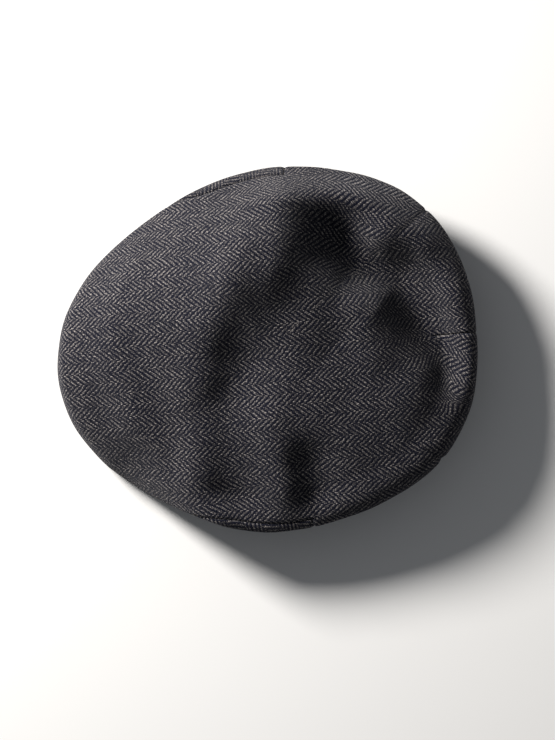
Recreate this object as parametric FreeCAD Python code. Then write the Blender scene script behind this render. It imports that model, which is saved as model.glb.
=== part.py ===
import FreeCAD, Part
import math
import os

# A flat cap in millimetres. +Z is up, the peak points along -Y, the wearer's left is +X.
# The origin is the centre of the head opening, in the plane that the headband rests on.

# Head opening: an oval of about 575 mm round
HEAD_HALF_LENGTH = 100.0
HEAD_HALF_WIDTH = 82.5

# Plan outline of the crown, drawn about a point a little ahead of the head opening's centre
PLAN_CENTRE_Y = -8.0
MEAN_RADIUS = 131.6
SHIFT_BACK = -4.2
LENGTHEN = 10.2
NARROW_WAIST = 5.0
SQUARE_ENDS = 0.8
SHIFT_LEFT = 1.0
SKEW = 3.0

# Peak: a crescent bent round an axis along Y
PEAK_FULL_ANGLE = 30.0
PEAK_END_ANGLE = 72.0
PEAK_TIP_ANGLE = 60.0
PEAK_BEND_RADIUS = 170.0
PEAK_CENTRE_HEIGHT = 28.4
PEAK_FORWARD_DROP = 0.08
PEAK_EDGE_GAP = 2.4
FLAT_BAND_ANGLE = 88.0

# Crown heights
CROWN_HEIGHT = 81.0
EDGE_STAND = 5.0
BAG_HEIGHT = 32.0
FRONT_ROUND_HEIGHT = 6.0
FRONT_ROUND_WIDTH = 8.0
SIDE_ROUND_HEIGHT = 20.0
SIDE_ROUND_WIDTH = 24.0
RAMP_POWER = 1.9
TOP_DISC_RADIUS = 2.0
RIM_STAND = 0.6

# Side strips: the seam above them falls from the back seam to the peak's edge
SIDE_SEAM_Y = 13.0
SIDE_SEAM_HEIGHT = 56.0
SIDE_SEAM_SLOPE = 0.2355
SIDE_SEAM_CURVE = 0.001466
SIDE_SEAM_LENGTH = 150.0
SEAM_GAP = 0.3

# Layers, from the outside inwards
SHELL_THICKNESS = 1.6
INTERLINING_DEPTH = 1.9
INTERLINING_INSET = 12.0
INTERLINING_BACK_RADIUS = 14.0
INTERLINING_THICKNESS = 0.5
LINING_DEPTH = 4.0
LINING_THICKNESS = 0.5
LINING_INSET = 3.5
LINING_FRONT_BULGE = 12.0
LINING_FRONT_HEIGHT = 34.0
LINING_ROUND_WIDTH = 12.0
LINING_RIM_LIFT = 5.0
SHELL_RIM_GROW = 4.6
LINING_RIM_GROW = 2.8
COVER_THICKNESS = 1.2
BOARD_THICKNESS = 1.6
LAYER_GAP = 0.25

# Headband pieces
SWEATBAND_HEIGHT = 25.0
SWEATBAND_THICKNESS = 1.0
SWEATBAND_LEAN = 2.0
TAPE_THICKNESS = 0.5
TAPE_HEIGHT = 14.0
BINDING_DEPTH = 4.0
BINDING_THICKNESS = 0.4
BINDING_GAP = 0.45
STRAIGHT_STEPS = 5
BELOW_REST = 1.0
BIG = 400.0

# Labels and stitches
MAKER_LABEL_HALF_LENGTH = 32.0
MAKER_LABEL_HALF_WIDTH = 17.0
MAKER_LABEL_Y = -42.0
MAKER_LABEL_THICKNESS = 0.5
CARE_LABEL_ANGLE = 118.0
CARE_LABEL_HALF_ANGLE = 8.0
CARE_LABEL_LOW = 17.0
CARE_LABEL_HIGH = 36.0
SIZE_LABEL_ANGLE = 174.0
SIZE_LABEL_HALF_ANGLE = 3.2
SIZE_LABEL_LOW = 10.0
SIZE_LABEL_HIGH = 27.0
LABEL_THICKNESS = 0.3
STITCH_RADIUS = 0.25
STITCH_LENGTH = 3.4
STITCH_HEIGHT = 4.0
SWEATBAND_STITCH_COUNT = 104
LABEL_STITCH_SPACING = 5.0

# How finely the surfaces are drawn
ROUND_STEPS = 72
LOWER_STEPS = 6
UPPER_STEPS = 22
PEAK_ROUND_STEPS = 30
PATCH_STEPS = 8

# Soft folds in the crown: the line each one follows (x, y), its half width and its height
FOLDS = [
    ([(8, 48)], 42.0, -11.0),
    ([(-92, 24), (-72, 48), (-46, 72), (-8, 92)], 15.0, -13.0),
    ([(-50, 40), (-22, 68), (14, 96), (44, 108)], 15.0, 5.0),
    ([(-74, 86)], 18.0, 6.0),
    ([(62, 0), (104, 12)], 10.0, -5.0),
    ([(-70, -8), (-20, -6)], 14.0, 4.0),
    ([(20, -34), (88, -40)], 14.0, -2.5),
]


def blend(share):
    """A smooth step from 0 to 1 as share goes from 0 to 1."""
    share = min(max(share, 0.0), 1.0)
    return 0.5 - 0.5 * math.cos(math.pi * share)


def outline_radius(angle):
    """Plan radius of the crown; angle 0 is the front, and it grows towards the wearer's left."""
    return (
        MEAN_RADIUS
        + SHIFT_BACK * math.cos(angle)
        + LENGTHEN * math.cos(2 * angle)
        + NARROW_WAIST * math.cos(3 * angle)
        + SQUARE_ENDS * math.cos(4 * angle)
        + SHIFT_LEFT * math.sin(angle)
        + SKEW * math.sin(2 * angle)
    )


def oval_radius(angle, grow):
    """Distance from the plan centre to the head oval, let out by grow."""
    half_x = HEAD_HALF_WIDTH + grow
    half_y = HEAD_HALF_LENGTH + grow
    ray_x = math.sin(angle) / half_x
    ray_y = -math.cos(angle) / half_y
    start_y = PLAN_CENTRE_Y / half_y
    a = ray_x**2 + ray_y**2
    b = start_y * ray_y
    c = start_y**2 - 1.0
    return (-b + math.sqrt(b * b - a * c)) / a


def plan_point(angle, radius):
    return radius * math.sin(angle), PLAN_CENTRE_Y - radius * math.cos(angle)


def peak_share(angle):
    """1 where the crown's lower edge follows the peak, 0 where it follows the headband."""
    degrees = abs(math.degrees(angle))
    return 1.0 - blend((degrees - PEAK_FULL_ANGLE) / (PEAK_END_ANGLE - PEAK_FULL_ANGLE))


def peak_height(x, y):
    """Underside of the peak: a cylinder's side that tips down towards the front."""
    bend = PEAK_BEND_RADIUS - math.sqrt(PEAK_BEND_RADIUS**2 - x * x)
    return PEAK_CENTRE_HEIGHT + PEAK_FORWARD_DROP * y - bend


def rim_radius(angle, inset, grow):
    """Radius of a layer's lower edge: on the headband, and at the front on the peak's edge."""
    band = oval_radius(angle, grow)
    edge = outline_radius(angle) - inset
    return band + (edge - band) * peak_share(angle)


def band_height(angle):
    """Height of the headband's lower edge: level at the sides and back, raised over the peak."""
    x, y = plan_point(angle, oval_radius(angle, 0.0))
    raised = blend((FLAT_BAND_ANGLE - abs(math.degrees(angle))) / (FLAT_BAND_ANGLE - PEAK_TIP_ANGLE))
    if raised == 0.0:
        return 0.0
    return peak_height(x, y) * raised


def rim_height(angle):
    """Height of the crown's lower edge."""
    if peak_share(angle) == 0.0:
        return band_height(angle) + RIM_STAND
    x, y = plan_point(angle, rim_radius(angle, 0.0, SHELL_RIM_GROW))
    share = peak_share(angle) ** 0.5
    return RIM_STAND + band_height(angle) * (1.0 - share) + peak_height(x, y) * share


def equator_height(angle):
    """Height where the crown is widest."""
    return rim_height(angle) + EDGE_STAND + BAG_HEIGHT * (1.0 - peak_share(angle))


def mix(front, back, angle):
    return back + (front - back) * peak_share(angle)


def distance_to_line(x, y, points):
    if len(points) == 1:
        return math.hypot(x - points[0][0], y - points[0][1])
    nearest = BIG
    for (x0, y0), (x1, y1) in zip(points, points[1:]):
        along = ((x - x0) * (x1 - x0) + (y - y0) * (y1 - y0)) / ((x1 - x0) ** 2 + (y1 - y0) ** 2)
        along = min(max(along, 0.0), 1.0)
        nearest = min(nearest, math.hypot(x - x0 - along * (x1 - x0), y - y0 - along * (y1 - y0)))
    return nearest


def fold_height(x, y):
    total = 0.0
    for points, width, height in FOLDS:
        total += height * math.exp(-((distance_to_line(x, y, points) / width) ** 2))
    return total


def rounded(depth, width):
    """Quarter-circle rise from 0 at the edge to 1 at the given depth inside it."""
    share = min(max(depth / width, 0.0), 1.0)
    return math.sqrt(1.0 - (1.0 - share) ** 2)


def crown_height(angle, radius, inset):
    """Height of the crown's upper side, moved in and down by inset."""
    edge = outline_radius(angle) - inset
    depth = edge - radius
    x, y = plan_point(angle, radius)
    low = equator_height(angle)
    round_height = mix(FRONT_ROUND_HEIGHT, SIDE_ROUND_HEIGHT, angle)
    round_width = mix(FRONT_ROUND_WIDTH, SIDE_ROUND_WIDTH, angle)
    ramp = 1.0 - max(radius / edge, 0.0) ** RAMP_POWER
    folds = fold_height(x, y) * blend(depth / (2.0 * round_width))
    rise = (round_height - inset) * rounded(depth, round_width)
    return low + rise + (CROWN_HEIGHT - low - round_height) * ramp + folds


def bezier(p0, p1, p2, p3, t):
    s = 1.0 - t
    weights = (s**3, 3 * s * s * t, 3 * s * t * t, t**3)
    return tuple(sum(w * p[k] for w, p in zip(weights, (p0, p1, p2, p3))) for k in (0, 1))


def shell_point(angle, step, inset):
    """A point of the shell: steps 0 to 1 climb from the lower edge to the widest line, 1 to 2 cross the top."""
    wide = outline_radius(angle) - inset
    low = rim_height(angle) + inset * 0.6
    high = equator_height(angle)
    if step <= 1.0:
        start = rim_radius(angle, 1.2 + inset, SHELL_RIM_GROW - 0.6 * inset)
        out = wide - start
        radius, height = bezier(
            (start, low),
            (start + 0.55 * out, low + 0.06 * (high - low)),
            (wide, low + 0.4 * (high - low)),
            (wide, high),
            step,
        )
    else:
        radius = TOP_DISC_RADIUS + (wide - TOP_DISC_RADIUS) * math.cos((step - 1.0) * math.pi / 2)
        height = crown_height(angle, radius, inset)
        if step >= 2.0:
            height = crown_height(0.0, 0.0, inset)
    x, y = plan_point(angle, radius)
    return FreeCAD.Vector(x, y, height)


def lining_point(angle, step, inset):
    """A point of the lining: like the shell's, but at the front it turns down to the headband."""
    wide = mix(oval_radius(angle, LINING_FRONT_BULGE), outline_radius(angle) - LINING_INSET, angle) - inset
    low = band_height(angle) + LINING_RIM_LIFT
    high = mix(LINING_FRONT_HEIGHT, equator_height(angle), angle)
    if step <= 1.0:
        start = oval_radius(angle, LINING_RIM_GROW - inset)
        out = wide - start
        radius, height = bezier(
            (start, low),
            (start + 0.35 * out, low + inset + 0.1 * (high - low)),
            (wide, low + inset + 0.4 * (high - low)),
            (wide, high),
            step,
        )
    else:
        radius = TOP_DISC_RADIUS + (wide - TOP_DISC_RADIUS) * math.cos((step - 1.0) * math.pi / 2)
        top = crown_height(angle, radius, 0.0) - LINING_DEPTH - inset
        height = high + (top - high) * rounded(wide - radius, LINING_ROUND_WIDTH)
        if step >= 2.0:
            height = crown_height(0.0, 0.0, 0.0) - LINING_DEPTH - inset
    x, y = plan_point(angle, radius)
    return FreeCAD.Vector(x, y, height)


def steps(low, high, count):
    return [low + (high - low) * k / count for k in range(count + 1)]


def drawn_surface(rows):
    surface = Part.BSplineSurface()
    surface.interpolate(rows)
    return surface


def edges_of(surface):
    u0, u1, v0, v1 = surface.bounds()
    return {
        "u0": surface.uIso(u0).toShape(),
        "u1": surface.uIso(u1).toShape(),
        "v0": surface.vIso(v0).toShape(),
        "v1": surface.vIso(v1).toShape(),
    }


def closed_solid(faces):
    shell = Part.makeShell(faces)
    shell.sewShape()
    solid = Part.makeSolid(shell)
    if solid.Volume < 0:
        solid.reverse()
    return solid


def sheet(outer, inner, across, along, joined, capped):
    """A solid between two surfaces. joined: it runs all the way round. capped: its last row is a flat disc."""
    surfaces = []
    for point in (outer, inner):
        surfaces.append(drawn_surface([[point(u, v) for v in along] for u in across]))
    faces = [surface.toShape() for surface in surfaces]
    edges = [edges_of(surface) for surface in surfaces]
    sides = ["v0"] if capped else ["v0", "v1"]
    if not joined:
        sides += ["u0", "u1"]
    for side in sides:
        faces.append(Part.makeRuledSurface(edges[0][side], edges[1][side]))
    if capped:
        for pair in edges:
            faces.append(Part.Face(Part.Wire([pair["v1"]])))
    return closed_solid(faces)


def side_cutter(side, gap):
    """A prism that holds everything below the side strip's seam and ahead of its back seam."""
    back = SIDE_SEAM_Y + gap
    points = []
    for reach in steps(0.0, SIDE_SEAM_LENGTH, 6):
        drop = SIDE_SEAM_SLOPE * reach + SIDE_SEAM_CURVE * reach * reach
        points.append(FreeCAD.Vector(0, back - reach, SIDE_SEAM_HEIGHT + gap - drop))
    curve = Part.BSplineCurve()
    curve.interpolate(points)
    low = FreeCAD.Vector(0, back, points[-1].z)
    outline = Part.Wire([curve.toShape(), Part.makeLine(points[-1], low), Part.makeLine(low, points[0])])
    return Part.Face(outline).extrude(FreeCAD.Vector(side * BIG, 0, 0))


def cut_into_panels(full, names):
    """Split a full skin into its top and its two side strips, with the seam's width between them."""
    top = full.cut(side_cutter(1, SEAM_GAP)).cut(side_cutter(-1, SEAM_GAP))
    parts = [top, full.common(side_cutter(1, 0.0)), full.common(side_cutter(-1, 0.0))]
    for name, part in zip(names, parts):
        export(name, largest_solid(part))


def largest_solid(shape):
    return max(shape.Solids, key=lambda solid: solid.Volume)


def export(name, shape):
    shape.exportStep("parts/" + name + ".step")
    solids = shape.Solids
    print(name, len(solids), "solids", round(sum(s.Volume for s in solids)), "mm3 valid", shape.isValid())


ROUND = [math.radians(a) for a in steps(-180.0, 180.0, ROUND_STEPS)]
CLIMB = steps(0.0, 1.0, LOWER_STEPS) + steps(1.0, 2.0, UPPER_STEPS)[1:]


def make_shell():
    full = sheet(
        lambda a, s: shell_point(a, s, 0.0),
        lambda a, s: shell_point(a, s, SHELL_THICKNESS),
        ROUND, CLIMB, True, True,
    )
    cut_into_panels(full, ["crown_top", "side_panel_left", "side_panel_right"])


def make_lining():
    full = sheet(
        lambda a, s: lining_point(a, s, 0.0),
        lambda a, s: lining_point(a, s, LINING_THICKNESS),
        ROUND, CLIMB, True, True,
    )
    cut_into_panels(full, ["lining_crown", "lining_side_left", "lining_side_right"])


def make_interlining():
    def place(depth):
        def point(angle, share):
            outer = outline_radius(angle) - INTERLINING_INSET
            radius = INTERLINING_BACK_RADIUS + (outer - INTERLINING_BACK_RADIUS) * share
            x, y = plan_point(angle, radius)
            return FreeCAD.Vector(x, y, crown_height(angle, radius, depth))
        return point

    across = [math.radians(a) for a in steps(-PEAK_TIP_ANGLE, PEAK_TIP_ANGLE, PEAK_ROUND_STEPS)]
    solid = sheet(
        place(INTERLINING_DEPTH), place(INTERLINING_DEPTH + INTERLINING_THICKNESS),
        across, steps(0.0, 1.0, UPPER_STEPS), False, False,
    )
    export("crown_interlining", solid)


def make_peak():
    def place(lift):
        def point(angle, share):
            inner = oval_radius(angle, LINING_RIM_GROW + LAYER_GAP)
            outer = rim_radius(angle, 1.2 + PEAK_EDGE_GAP, SHELL_RIM_GROW - PEAK_EDGE_GAP)
            x, y = plan_point(angle, inner + (outer - inner) * share)
            return FreeCAD.Vector(x, y, peak_height(x, y) + RIM_STAND + lift)
        return point

    across = [math.radians(a) for a in steps(-PEAK_TIP_ANGLE, PEAK_TIP_ANGLE, PEAK_ROUND_STEPS)]
    lift = 0.0
    for name, thickness in [
        ("peak_under_cover", COVER_THICKNESS),
        ("peak_board", BOARD_THICKNESS),
        ("peak_upper_cover", COVER_THICKNESS),
    ]:
        solid = sheet(place(lift + thickness), place(lift), across, steps(0.0, 1.0, PATCH_STEPS), False, False)
        export(name, solid)
        lift += thickness + LAYER_GAP


def band_point(angle, share, grow, low, high):
    """A point of a strip round the head opening, between two heights above the band's lower edge."""
    lift = low + (high - low) * share
    lean = SWEATBAND_LEAN * lift / SWEATBAND_HEIGHT
    x, y = plan_point(angle, oval_radius(angle, grow - lean))
    return FreeCAD.Vector(x, y, band_height(angle) + lift)


def band_strip(grow, thickness, low, high, across, joined):
    return sheet(
        lambda a, s: band_point(a, s, grow + thickness, low, high),
        lambda a, s: band_point(a, s, grow, low, high),
        across, steps(0.0, 1.0, PATCH_STEPS), joined, False,
    )


def make_headband():
    sweatband = band_strip(0.0, SWEATBAND_THICKNESS, -BELOW_REST, SWEATBAND_HEIGHT, ROUND, True)
    floor = Part.makeBox(2 * BIG, 2 * BIG, BIG, FreeCAD.Vector(-BIG, -BIG, -BIG))
    export("sweatband", largest_solid(sweatband.cut(floor)))

    tape_grow = SWEATBAND_THICKNESS + LAYER_GAP
    export("headband_tape", band_strip(tape_grow, TAPE_THICKNESS, 1.0, TAPE_HEIGHT, ROUND, True))

    def binding_point(angle, turn, depth):
        """The binding is folded over the sweatband's upper edge: down inside, over, and down outside."""
        half = SWEATBAND_THICKNESS / 2 + BINDING_GAP + depth
        if turn <= 1.0:
            grow, lift = SWEATBAND_THICKNESS / 2 - half, SWEATBAND_HEIGHT - BINDING_DEPTH * (1.0 - turn)
        elif turn <= 2.0:
            bend = (turn - 1.0) * math.pi
            grow = SWEATBAND_THICKNESS / 2 - half * math.cos(bend)
            lift = SWEATBAND_HEIGHT + half * math.sin(bend)
        else:
            grow, lift = SWEATBAND_THICKNESS / 2 + half, SWEATBAND_HEIGHT - BINDING_DEPTH * (turn - 2.0)
        return band_point(angle, 0.0, grow, lift, lift)

    turns = (
        steps(0.0, 1.0, STRAIGHT_STEPS)
        + steps(1.0, 2.0, PATCH_STEPS)[1:]
        + steps(2.0, 3.0, STRAIGHT_STEPS)[1:]
    )
    binding = sheet(
        lambda a, t: binding_point(a, t, BINDING_THICKNESS),
        lambda a, t: binding_point(a, t, 0.0),
        ROUND, turns, True, False,
    )
    export("sweatband_binding", binding)


def arc_of(middle, half):
    return [math.radians(a) for a in steps(middle - half, middle + half, PATCH_STEPS)]


def make_labels():
    def place(depth):
        def point(x, y):
            angle = math.atan2(x, PLAN_CENTRE_Y - y)
            radius = math.hypot(x, y - PLAN_CENTRE_Y)
            return FreeCAD.Vector(x, y, crown_height(angle, radius, 0.0) - depth)
        return point

    top = LINING_DEPTH + LINING_THICKNESS + LAYER_GAP
    across = steps(-MAKER_LABEL_HALF_LENGTH, MAKER_LABEL_HALF_LENGTH, UPPER_STEPS)
    along = steps(MAKER_LABEL_Y - MAKER_LABEL_HALF_WIDTH, MAKER_LABEL_Y + MAKER_LABEL_HALF_WIDTH, UPPER_STEPS)
    label = sheet(place(top), place(top + MAKER_LABEL_THICKNESS), across, along, False, False)
    export("maker_label", label)

    under = place(top + MAKER_LABEL_THICKNESS + STITCH_RADIUS)
    stitches = []
    reach = MAKER_LABEL_HALF_LENGTH - 1.5
    count = int(2 * reach / LABEL_STITCH_SPACING)
    for side in (-1, 1):
        y = MAKER_LABEL_Y + side * (MAKER_LABEL_HALF_WIDTH - 1.5)
        for x in steps(-reach, reach - STITCH_LENGTH, count - 1):
            stitches.append(stitch(under(x, y), under(x + STITCH_LENGTH, y)))
    export("maker_label_stitches", Part.Compound(stitches))

    binding_stand = BINDING_GAP + BINDING_THICKNESS + LAYER_GAP
    care = band_strip(
        SWEATBAND_THICKNESS + binding_stand, LABEL_THICKNESS, CARE_LABEL_LOW, CARE_LABEL_HIGH,
        arc_of(CARE_LABEL_ANGLE, CARE_LABEL_HALF_ANGLE), False,
    )
    export("care_label", care)
    size = band_strip(
        -binding_stand - LABEL_THICKNESS, LABEL_THICKNESS,
        SIZE_LABEL_LOW, SIZE_LABEL_HIGH, arc_of(SIZE_LABEL_ANGLE, SIZE_LABEL_HALF_ANGLE), False,
    )
    export("size_label", size)


def stitch(start, end):
    return Part.makeCylinder(STITCH_RADIUS, (end - start).Length, start, end - start)


def make_sweatband_stitches():
    stitches = []
    for k in range(SWEATBAND_STITCH_COUNT):
        angle = 2 * math.pi * k / SWEATBAND_STITCH_COUNT
        turn = STITCH_LENGTH / 2 / oval_radius(angle, 0.0)
        grow = -STITCH_RADIUS - 0.1
        ends = [
            band_point(angle + side * turn, 0.0, grow, STITCH_HEIGHT, STITCH_HEIGHT)
            for side in (-1, 1)
        ]
        stitches.append(stitch(ends[0], ends[1]))
    export("sweatband_stitches", Part.Compound(stitches))


os.makedirs("parts", exist_ok=True)
make_shell()
make_lining()
make_interlining()
make_peak()
make_headband()
make_labels()
make_sweatband_stitches()
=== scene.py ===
import math
import bpy
import numpy as np
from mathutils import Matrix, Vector


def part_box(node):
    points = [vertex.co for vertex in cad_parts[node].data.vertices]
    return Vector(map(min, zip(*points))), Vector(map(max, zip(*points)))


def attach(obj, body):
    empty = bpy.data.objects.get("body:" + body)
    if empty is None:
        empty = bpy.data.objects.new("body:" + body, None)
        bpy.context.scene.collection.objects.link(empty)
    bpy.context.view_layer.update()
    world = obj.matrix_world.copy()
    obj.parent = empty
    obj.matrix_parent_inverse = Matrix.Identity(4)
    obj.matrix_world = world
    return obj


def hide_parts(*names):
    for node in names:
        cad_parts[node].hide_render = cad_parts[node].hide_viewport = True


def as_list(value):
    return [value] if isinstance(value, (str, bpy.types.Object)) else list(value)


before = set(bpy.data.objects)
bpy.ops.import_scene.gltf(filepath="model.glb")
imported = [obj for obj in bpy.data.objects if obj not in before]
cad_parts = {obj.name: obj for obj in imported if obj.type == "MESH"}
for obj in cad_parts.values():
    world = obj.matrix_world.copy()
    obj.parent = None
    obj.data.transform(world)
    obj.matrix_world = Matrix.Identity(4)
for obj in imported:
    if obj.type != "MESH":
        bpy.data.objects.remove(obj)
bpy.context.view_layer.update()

# A flat cap in herringbone wool, lying on its headband. The peak points along -Y, the wearer's left is +X.
# Shapes are worked out in millimetres of the pattern and scaled by the frame's own crown.
# Angles go round the plan centre: 0 is the front, and they grow towards the wearer's left.
CROWN_LOW, CROWN_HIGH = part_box("crown_top")
PATTERN_LENGTH = 286.1
UNIT = float(CROWN_HIGH[1] - CROWN_LOW[1]) / PATTERN_LENGTH

# Head opening and plan outline
HEAD_HALF_LENGTH = 100.0
HEAD_HALF_WIDTH = 82.5
PLAN_CENTRE_Y = -8.0
# Plan radii every 30 degrees, from the front round by the wearer's left
OUTLINE_RADII = (144.0, 136.0, 123.5, 123.5, 128.0, 140.5, 141.0, 143.5, 132.5, 121.5, 118.5, 131.0)

# Peak
PEAK_FULL_ANGLE = 30.0
PEAK_END_ANGLE = 72.0
PEAK_TIP_ANGLE = 60.0
PEAK_BEND_RADIUS = 170.0
PEAK_CENTRE_HEIGHT = 28.4
PEAK_FORWARD_DROP = 0.08
FLAT_BAND_ANGLE = 88.0

# Crown heights
CROWN_HEIGHT = 81.0
EDGE_STAND = 5.0
BAG_HEIGHT = 32.0
FRONT_ROUND = (10.0, 5.0)
SIDE_ROUND = (4.0, 26.0)
BACK_ROUND = (10.0, 24.0)
BACK_ROUND_START = 100.0
BACK_ROUND_SPREAD = 50.0
RAMP_POWER = 1.9
FOLD_MARGIN = 26.0
REST_CLEARANCE = 7.0
REST_WIDTH = 20.0
REST_SOFTNESS = 1.5
RIM_STAND = 0.6
SHELL_RIM_GROW = 4.6
SHELL_RIM_INSET = 1.2
SHELL_THICKNESS = 1.4
HEM_WIDTH = 2.8
HEM_GROW = 1.5
HEM_FRONT_LIFT = 1.2
HEM_SIDE_LIFT = 6.0
HEM_FOLD_DROP = 0.3
HEM_FOLD_LEVEL = 0.25
HEM_FRONT_FOLD = 0.3
HEM_SIDE_FOLD = 1.2

# How a skin leaves its lower edge: the shares of the way out and up of its first bend
SHELL_FLARE = (0.55, 0.06)
LINING_FLARE = (0.35, 0.1)
WIDEST_BEND = 0.4

# Layers inside the shell
INTERLINING_DEPTH = 2.0
INTERLINING_INSET = 12.0
INTERLINING_BACK_RADIUS = 14.0
INTERLINING_THICKNESS = 0.4
LINING_DEPTH = 4.0
LINING_THICKNESS = 0.35
LINING_INSET = 3.5
LINING_FRONT_BULGE = 12.0
LINING_FRONT_HEIGHT = 34.0
LINING_ROUND_WIDTH = 12.0
LINING_RIM_LIFT = 5.0
LINING_RIM_GROW = 2.8
LINING_PUCKER = 0.5
LINING_GATHERS = (46.0, 2.0, 5.0)
LINING_GATHER_REACH = 0.5
LINING_GATHER_START = 0.125
LINING_CLOTH_FALL = 1.6
LAYER_GAP = 0.25
STEEPEST = 1.6
SLOPE_STEP = 1.0
SLOPE_LEAST_RADIUS = 10.0

# Peak layers
COVER_THICKNESS = 1.1
BOARD_THICKNESS = 1.6
PEAK_EDGE_GAP = 2.4

# Headband
SWEATBAND_HEIGHT = 25.0
SWEATBAND_THICKNESS = 1.0
SWEATBAND_LEAN = 2.0
SWEATBAND_PUCKER = 0.18
SWEATBAND_GATHERS = (60.0, 3.0, 4.0)
SWEATBAND_GATHER_HEIGHT = 3.0
TAPE_HEIGHT = 14.0
TAPE_THICKNESS = 0.5
BINDING_DEPTH = 4.0
BINDING_THICKNESS = 0.4
BINDING_GAP = 0.45

# Labels and stitches
MAKER_LABEL_HALF_LENGTH = 32.0
MAKER_LABEL_HALF_WIDTH = 17.0
MAKER_LABEL_Y = -42.0
MAKER_LABEL_THICKNESS = 0.5
LABEL_DEPTH = LINING_DEPTH + LINING_THICKNESS + 2 * LAYER_GAP
CARE_LABEL_ANGLE = 118.0
CARE_LABEL_HALF_ANGLE = 8.0
CARE_LABEL_LOW = 17.0
CARE_LABEL_HIGH = 33.0
SIZE_LABEL_ANGLE = 174.0
SIZE_LABEL_HALF_ANGLE = 3.2
SIZE_LABEL_LOW = 10.0
SIZE_LABEL_HIGH = 27.0
RIBBON_THICKNESS = 0.3
STITCH_RADIUS = 0.25
STITCH_LENGTH = 3.4
STITCH_HEIGHT = 4.0
STITCH_SINK = 0.1
SWEATBAND_STITCH_COUNT = 104
LABEL_STITCH_SPACING = 5.0
LABEL_STITCH_INSET = 1.5

# Side strips: their upper seam climbs from the peak's edge to just inside the widest line
STRIP_BACK = math.radians(99.6)
STRIP_TIP = math.radians(38.0)
SEAM_START = math.radians(34.0)
SEAM_FULL = math.radians(76.0)
SEAM_LOW_STEP = 0.12
SEAM_HIGH_STEP = 1.19
SEAM_DEPTH = 0.9
SEAM_HALF_WIDTH = 1.3
SEAM_BACK_FADE = 0.03
SEAM_TIP_FADE = 0.1

# Unevenness of the cloth
LONG_RIPPLE = 0.28
SHORT_RIPPLE = 0.22

# Back darts, and the back seam, whose two edges are left apart outside this radius
DART_ANGLE = math.radians(143.0)
BACK_SEAM_RADIUS = 110.0
DART_FADE = 9.0
DARTS = [
    # angle, inner radius, depth, half width
    (math.pi, 110.0, 0.7, 1.1),
    (-DART_ANGLE, 113.0, 0.8, 1.1),
    (DART_ANGLE, 121.0, 1.2, 2.2),
]

# The weave turns at the very back, on the wearer's right of the centre seam
TWIST_DEGREES = 30.0
TWIST_CENTRE = (14.0, 118.0)
TWIST_START_Y = 100.0
TWIST_SPREAD_Y = 16.0
TWIST_END_X = 56.0
TWIST_SPREAD_X = 22.0

# Herringbone: half of its repeat across, and the two yarn spacings
HALF_REPEAT = 8.0
END_SPACING = 0.89
PICK_SPACING = 1.0

# Soft folds: the line each follows (x, y), how far it reaches to the left and right of that line,
# and its height
FOLDS = [
    # the top sags behind the middle, a little at the front, and in a trough along the wearer's left side
    ([(10, 55)], 75.0, 75.0, -20.0),
    ([(15, -95)], 40.0, 40.0, -10.0),
    ([(10, -32), (115, -42)], 32.0, 30.0, -16.0),
    # the wearer's right side stands up, with the deep valley behind it
    ([(-118, 6), (-90, 0), (-58, -4)], 18.0, 35.0, 10.0),
    ([(-112, 20), (-108, 62)], 20.0, 28.0, 14.0),
    ([(-62, -25), (-58, -85)], 35.0, 45.0, 6.0),
    ([(-66, 44), (-50, 56), (-38, 82), (-14, 96), (20, 115)], 24.0, 22.0, -22.0),
    # the crest beyond the valley, and the light lobe on its near slope
    ([(-62, 28), (-36, 40), (-28, 64), (0, 75), (24, 90)], 20.0, 42.0, 12.0),
    ([(-20, 58), (10, 60)], 15.0, 15.0, 4.0),
    # puffed cloth beside the back seam and at the very back
    ([(-70, 82), (-64, 100)], 20.0, 17.0, 9.0),
    ([(-20, 120), (20, 118)], 15.0, 30.0, 8.0),
    # shallow cross folds over the front and the wearer's left side
    ([(-70, -25), (-15, -46), (35, -56), (80, -64)], 18.0, 18.0, 6.0),
    ([(50, -12), (95, -8)], 15.0, 20.0, 5.0),
    ([(80, 12), (115, 18)], 20.0, 14.0, -8.0),
]


def blend(share):
    """A smooth step from 0 to 1 as share goes from 0 to 1."""
    share = np.clip(share, 0.0, 1.0)
    return 0.5 - 0.5 * np.cos(np.pi * share)


def outline_radius(angle):
    """A smooth closed curve through the plan radii."""
    count = len(OUTLINE_RADII)
    waves = np.fft.rfft(OUTLINE_RADII) / count
    total = waves[0].real + waves[-1].real * np.cos(count // 2 * angle)
    for turn, wave in enumerate(waves[1:-1], 1):
        total = total + 2.0 * (wave.real * np.cos(turn * angle) - wave.imag * np.sin(turn * angle))
    return total


def oval_radius(angle, grow):
    """Distance from the plan centre to the head oval, let out by grow."""
    half_x = HEAD_HALF_WIDTH + grow
    half_y = HEAD_HALF_LENGTH + grow
    ray_x = np.sin(angle) / half_x
    ray_y = -np.cos(angle) / half_y
    start_y = PLAN_CENTRE_Y / half_y
    a = ray_x**2 + ray_y**2
    b = start_y * ray_y
    return (-b + np.sqrt(b * b - a * (start_y**2 - 1.0))) / a


def plan_point(angle, radius):
    """The place x, y at an angle and a distance from the plan centre."""
    return radius * np.sin(angle), PLAN_CENTRE_Y - radius * np.cos(angle)


def peak_share(angle):
    """1 over the peak, 0 beyond its ends."""
    degrees = np.abs(np.degrees(angle))
    return 1.0 - blend((degrees - PEAK_FULL_ANGLE) / (PEAK_END_ANGLE - PEAK_FULL_ANGLE))


def mix(front, back, angle):
    """The front value over the peak, the back value elsewhere."""
    return back + (front - back) * peak_share(angle)


def peak_height(x, y):
    """The peak's bend: highest along the middle, falling to both sides and forwards."""
    bend = PEAK_BEND_RADIUS - np.sqrt(PEAK_BEND_RADIUS**2 - x * x)
    return PEAK_CENTRE_HEIGHT + PEAK_FORWARD_DROP * y - bend


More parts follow.
